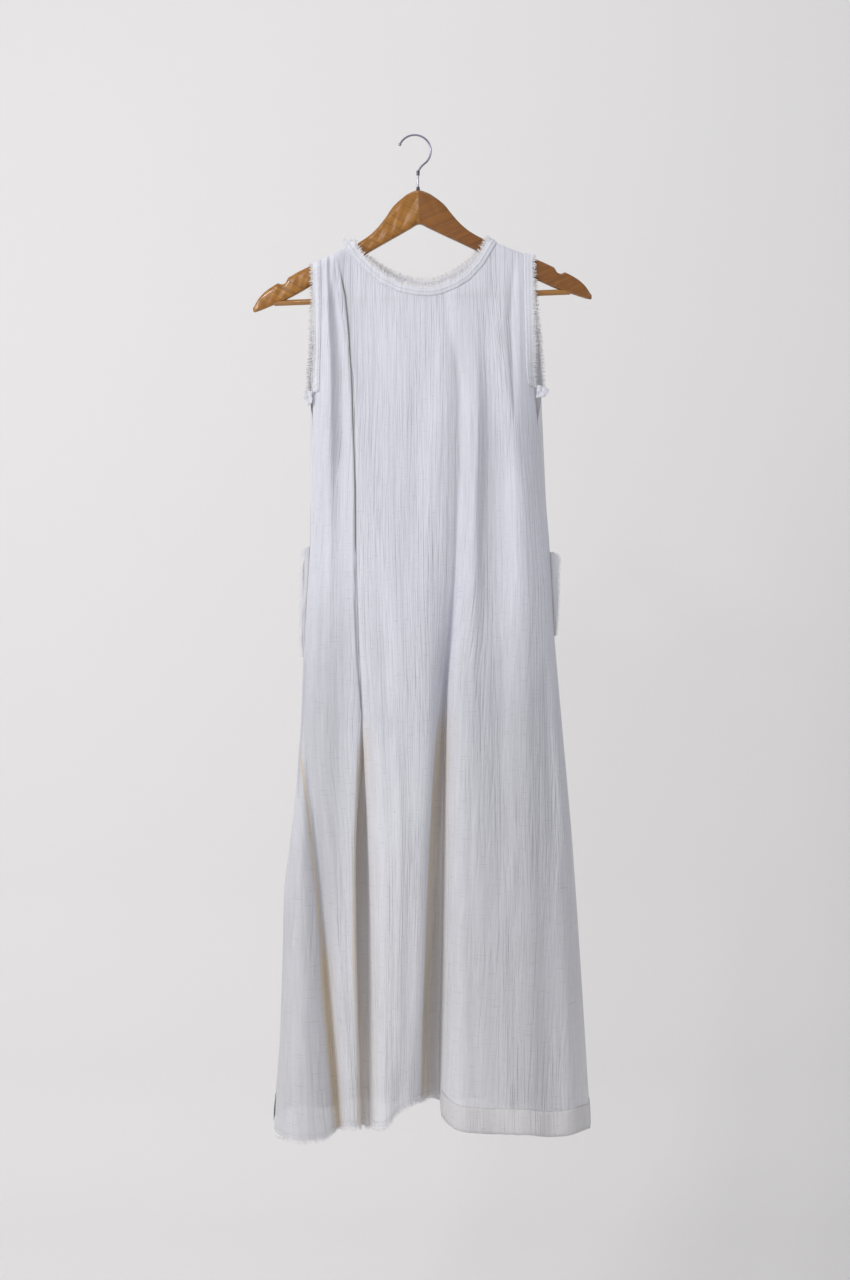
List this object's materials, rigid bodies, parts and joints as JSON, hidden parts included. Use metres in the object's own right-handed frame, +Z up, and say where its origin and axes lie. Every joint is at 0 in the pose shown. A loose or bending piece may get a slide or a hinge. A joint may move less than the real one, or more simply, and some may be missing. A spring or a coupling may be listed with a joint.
{
  "type": "sleeveless cotton dress on a wooden hanger",
  "caption": "Long sleeveless crinkled cotton dress with bound, frayed neck and armholes and side pockets, hanging in soft folds on a wooden hanger with a steel hook.",
  "frame": {"origin": "the highest point inside the hanger's hook, where a rail carries it", "axes": "+Z up, -Y towards the viewer of the dress's front, +X to the viewer's right"},
  "size_m": [0.447, 0.1809, 1.3199],
  "materials": {
    "cotton": "crinkled semi-sheer gauze, matt",
    "cotton_fray": "raw frayed edge, matt",
    "wood_light": "clear gloss lacquer",
    "wood_dark": "clear gloss lacquer",
    "steel": "polished"
  },
  "bodies": {
    "root": {"armhole_band_left": "cotton", "armhole_band_right": "cotton", "back_panel": "cotton", "fringe_armhole_left": "cotton_fray", "fringe_armhole_right": "cotton_fray", "fringe_hem_front": "cotton_fray", "fringe_neck_back": "cotton_fray", "fringe_neck_front": "cotton_fray", "fringe_pocket_left": "cotton_fray", "fringe_pocket_right": "cotton_fray", "front_panel": "cotton", "hanger_left": "wood_light", "hanger_right": "wood_dark", "hem_band_back": "cotton", "hem_band_front": "cotton", "hook": "steel", "hook_ferrule": "steel", "hook_tip": "steel", "neck_band_back": "cotton", "neck_band_front": "cotton", "pocket_facing_left": "cotton", "pocket_facing_right": "cotton", "trouser_bar": "wood_light", "underarm_tab_left": "cotton_fray", "underarm_tab_right": "cotton_fray"}
  },
  "joints": []
}
